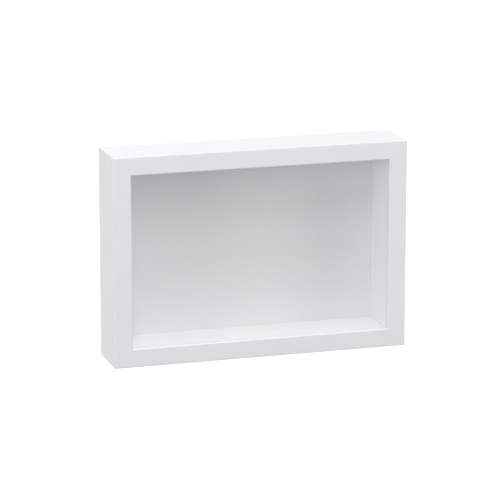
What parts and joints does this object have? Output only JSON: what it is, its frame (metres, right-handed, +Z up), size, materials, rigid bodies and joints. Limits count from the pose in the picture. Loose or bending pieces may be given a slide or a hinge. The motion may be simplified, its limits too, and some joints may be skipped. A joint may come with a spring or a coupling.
{
  "type": "shadow box",
  "caption": "Deep rectangular display box with a flat mitred border, a glazed front, lined inner walls and a removable back held by turn buttons. It stands on its edge or hangs on a wall.",
  "frame": {"origin": "middle of the case's flat underside, half way between the front face and the rails' rear faces", "axes": "+X along the width, to the right seen from the front; +Y from the front to the back; +Z up"},
  "size_m": [0.332, 0.0655, 0.232],
  "materials": {
    "white_lacquer": "satin",
    "white_lining": "matte",
    "clear_glass": "polished",
    "white_card": "matte",
    "hardboard": "matte",
    "zinc_plate": "satin",
    "bright_steel": "gloss",
    "blued_steel": "satin",
    "bumper_rubber": "matte"
  },
  "bodies": {
    "case": {"bottom_rail": "white_lacquer", "bottom_spacer": "white_lining", "corner_v_nails": "blued_steel", "glass_pane": "clear_glass", "hanger_nails": "bright_steel", "landscape_hanger": "zinc_plate", "left_rail": "white_lacquer", "left_spacer": "white_lining", "portrait_hanger": "zinc_plate", "right_rail": "white_lacquer", "right_spacer": "white_lining", "top_rail": "white_lacquer", "top_spacer": "white_lining", "turn_button_screws": "bright_steel", "wall_bumper_bottom_left": "bumper_rubber", "wall_bumper_bottom_right": "bumper_rubber", "wall_bumper_top_left": "bumper_rubber", "wall_bumper_top_right": "bumper_rubber"},
    "back": {"back_board": "hardboard", "display_card": "white_card"},
    "turn_button_top_left": {"turn_button_top_left": "zinc_plate"},
    "turn_button_top_right": {"turn_button_top_right": "zinc_plate"},
    "turn_button_bottom_left": {"turn_button_bottom_left": "zinc_plate"},
    "turn_button_bottom_right": {"turn_button_bottom_right": "zinc_plate"},
    "turn_button_left": {"turn_button_left": "zinc_plate"},
    "turn_button_right": {"turn_button_right": "zinc_plate"}
  },
  "joints": [
    {"name": "back_board_slide", "type": "slide", "parent": "case", "child": "back", "axis": [0, 1, 0], "range_m": [0, 0.08]},
    {"name": "turn_button_top_left_pivot", "type": "hinge", "parent": "case", "child": "turn_button_top_left", "pos_m": [-0.09, 0.031, 0.224], "axis": [0, -1, 0], "continuous": true},
    {"name": "turn_button_top_right_pivot", "type": "hinge", "parent": "case", "child": "turn_button_top_right", "pos_m": [0.09, 0.031, 0.224], "axis": [0, 1, 0], "continuous": true},
    {"name": "turn_button_bottom_left_pivot", "type": "hinge", "parent": "case", "child": "turn_button_bottom_left", "pos_m": [-0.09, 0.031, 0.008], "axis": [0, 1, 0], "continuous": true},
    {"name": "turn_button_bottom_right_pivot", "type": "hinge", "parent": "case", "child": "turn_button_bottom_right", "pos_m": [0.09, 0.031, 0.008], "axis": [0, -1, 0], "continuous": true},
    {"name": "turn_button_left_pivot", "type": "hinge", "parent": "case", "child": "turn_button_left", "pos_m": [-0.158, 0.031, 0.066], "axis": [0, -1, 0], "continuous": true},
    {"name": "turn_button_right_pivot", "type": "hinge", "parent": "case", "child": "turn_button_right", "pos_m": [0.158, 0.031, 0.066], "axis": [0, 1, 0], "continuous": true}
  ]
}
